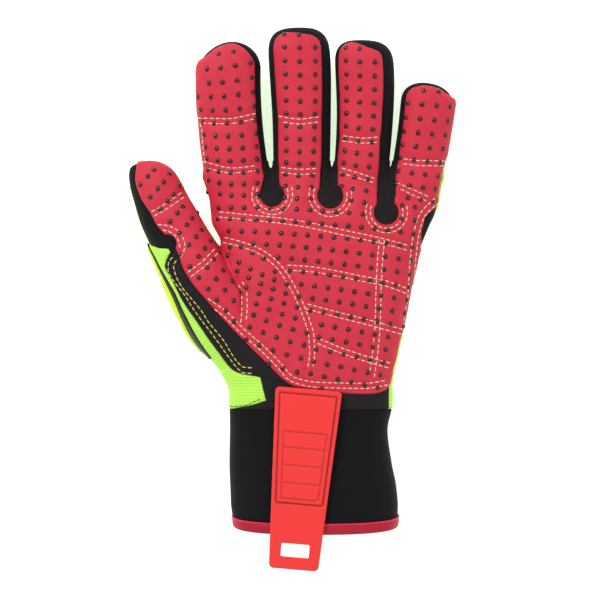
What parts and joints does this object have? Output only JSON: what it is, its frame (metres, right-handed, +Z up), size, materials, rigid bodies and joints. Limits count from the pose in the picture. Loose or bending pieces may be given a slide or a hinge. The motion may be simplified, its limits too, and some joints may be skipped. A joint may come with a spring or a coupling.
{
  "type": "impact glove",
  "caption": "Left-hand impact glove lying palm up: dotted gripping palm, bright back with moulded guards, neoprene cuff and a rubber pull tab.",
  "frame": {"origin": "on the floor, under the middle of the glove's bounding box", "axes": "+Y from the hem to the fingertips, +X from the thumb's side to the little finger's, +Z up, out of the palm"},
  "size_m": [0.1738, 0.2906, 0.0516],
  "materials": {
    "black_knit": "satin",
    "neoprene": "matte",
    "red_leather": "matte",
    "bright_knit": "matte",
    "crimson_tape": "satin",
    "red_rubber": "satin",
    "black_rubber": "satin"
  },
  "bodies": {
    "root": {"hand_shell": "black_knit", "index_sleeve": "black_knit", "middle_sleeve": "black_knit", "ring_sleeve": "black_knit", "little_sleeve": "black_knit", "thumb_sleeve": "black_knit", "palm_panel": "red_leather", "thumb_panel": "red_leather", "side_panel": "black_knit", "wrist_band": "black_knit", "back_panel": "bright_knit", "cuff": "neoprene", "hem_binding": "crimson_tape", "knuckle_guard": "black_rubber", "index_guard": "black_rubber", "middle_guard": "black_rubber", "ring_guard": "black_rubber", "little_guard": "black_rubber", "thumb_guard": "black_rubber", "pull_tab": "red_rubber"}
  },
  "joints": []
}
